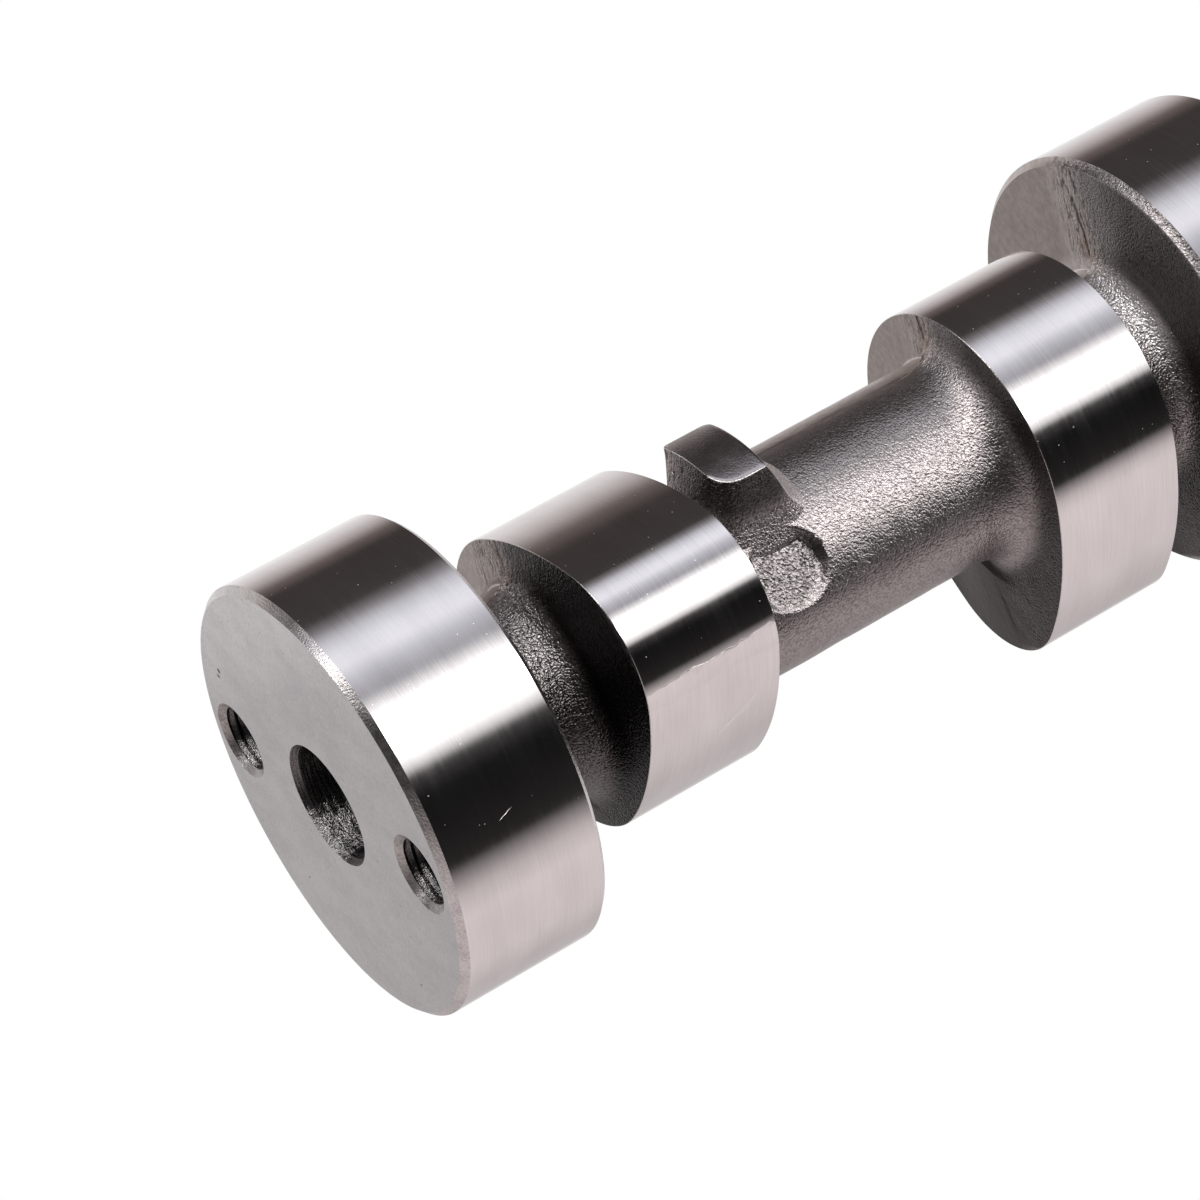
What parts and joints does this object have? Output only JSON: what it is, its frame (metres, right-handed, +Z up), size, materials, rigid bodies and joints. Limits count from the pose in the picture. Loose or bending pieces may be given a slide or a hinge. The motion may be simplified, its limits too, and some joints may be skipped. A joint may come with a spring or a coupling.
{
  "type": "camshaft",
  "caption": "Cast camshaft with ground journals and paired lobes, a clamping lug, and a flat end face with a centre hole between tapped holes, standing on its plain end.",
  "frame": {"origin": "centre of the plain end face that the shaft stands on", "axes": "+Z up the shaft's axis to the end face with three holes, +X along the line of the three holes"},
  "size_m": [0.05, 0.05, 0.4444],
  "materials": {
    "ground_cast_iron": "as cast, with journals and lobes ground bright"
  },
  "bodies": {
    "root": {"camshaft": "ground_cast_iron"}
  },
  "joints": []
}
